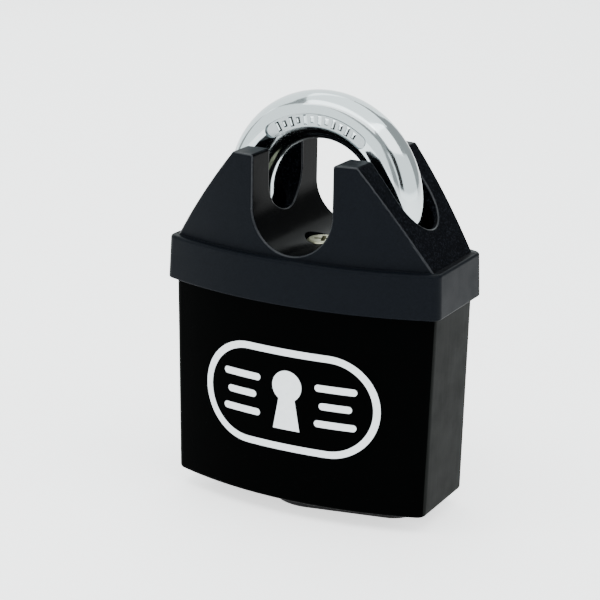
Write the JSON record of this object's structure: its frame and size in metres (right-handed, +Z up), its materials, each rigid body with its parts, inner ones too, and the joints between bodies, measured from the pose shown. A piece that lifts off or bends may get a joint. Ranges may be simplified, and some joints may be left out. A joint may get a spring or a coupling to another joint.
{
  "type": "closed-shackle padlock",
  "caption": "Closed-shackle padlock: black bowed body, shrouded polished shackle, ball lock, pin-tumbler cylinder and swinging keyway cover.",
  "frame": {"origin": "under the middle of the padlock, on the surface it stands on (the underside of the keyway cover)", "axes": "+Z up along the shackle legs; -Y is the front face; the long heel leg is at -X and the toe leg at +X"},
  "size_m": [0.0634, 0.0348, 0.089],
  "materials": {
    "black_jacket": "smooth black enamel, glossy on the faces",
    "black_shroud": "satin black powder coat, faint grain",
    "chrome": "polished chrome plate",
    "brass": "turned brass",
    "zinc_steel": "bright zinc",
    "polished_steel": "ground and polished",
    "spring_steel": "drawn wire",
    "rubber": "matt",
    "black_plastic": "fine matt grain"
  },
  "bodies": {
    "body": {"body_jacket": "black_jacket", "base_screws": "zinc_steel", "lock_core": "brass", "shroud": "black_shroud", "saddle_screw": "brass", "shackle_seals": "rubber", "shackle_spring": "spring_steel", "cylinder_shell": "brass", "drill_pins": "spring_steel", "driver_pins": "zinc_steel", "pin_springs": "spring_steel", "spring_strip": "brass", "cylinder_pin": "zinc_steel", "cover_rivet": "zinc_steel", "cover_washer": "spring_steel"},
    "shackle": {"shackle": "chrome"},
    "plug": {"cylinder_plug": "brass", "plug_clip": "spring_steel", "tailpiece": "zinc_steel", "key_pins": "brass", "locking_cam": "zinc_steel"},
    "toe_ball": {"toe_ball": "polished_steel"},
    "heel_ball": {"heel_ball": "polished_steel"},
    "cover": {"keyway_cover": "black_plastic"}
  },
  "joints": [
    {"name": "shackle_lift", "type": "slide", "parent": "body", "child": "shackle", "axis": [0, 0, 1], "range_m": [0, 0.036]},
    {"name": "plug_turn", "type": "hinge", "parent": "body", "child": "plug", "pos_m": [0, 0, 0.0165], "axis": [0, 0, 1], "range_deg": [0, 90]},
    {"name": "toe_ball_slide", "type": "slide", "parent": "body", "child": "toe_ball", "axis": [1, 0, 0], "range_m": [0, 0.00185]},
    {"name": "heel_ball_slide", "type": "slide", "parent": "body", "child": "heel_ball", "axis": [-1, 0, 0], "range_m": [0, 0.001]},
    {"name": "cover_swing", "type": "hinge", "parent": "body", "child": "cover", "pos_m": [0.0177, 0, 0.0016], "axis": [0, 0, 1], "range_deg": [0, 110]}
  ],
  "couplings": [
    {"joint": "toe_ball_slide", "follows": "plug_turn", "m_per_rad": 0.0011777},
    {"joint": "heel_ball_slide", "follows": "plug_turn", "m_per_rad": 0.00063661}
  ]
}
